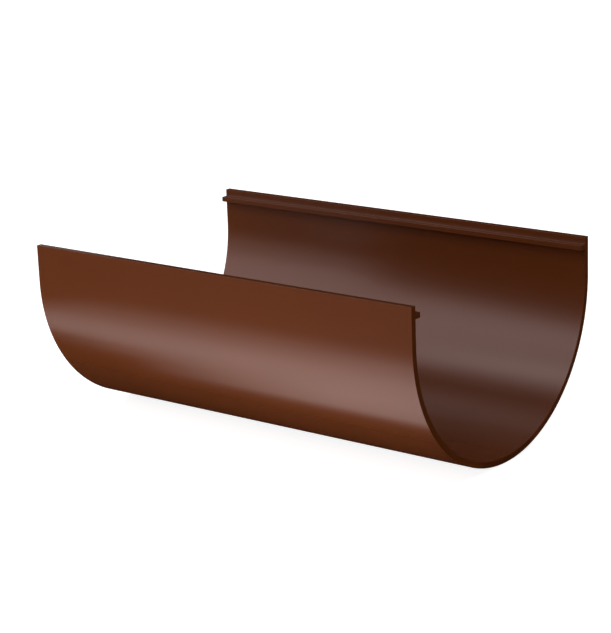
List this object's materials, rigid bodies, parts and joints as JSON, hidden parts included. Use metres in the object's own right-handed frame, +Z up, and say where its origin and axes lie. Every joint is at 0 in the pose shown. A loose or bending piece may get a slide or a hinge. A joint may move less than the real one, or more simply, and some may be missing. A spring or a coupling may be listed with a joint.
{
  "type": "gutter section",
  "caption": "Short length of half-round brown plastic rain gutter, open at the top and at both ends, with a square rib inside below each lip.",
  "frame": {"origin": "lowest line of the round bottom, midway along the length and midway across the width", "axes": "+X along the gutter to its near end, +Z up out of the open top, +Y to the right side as seen from the near end"},
  "size_m": [0.19, 0.125, 0.0782],
  "materials": {
    "pvc": "satin"
  },
  "bodies": {
    "root": {"gutter_section": "pvc"}
  },
  "joints": []
}
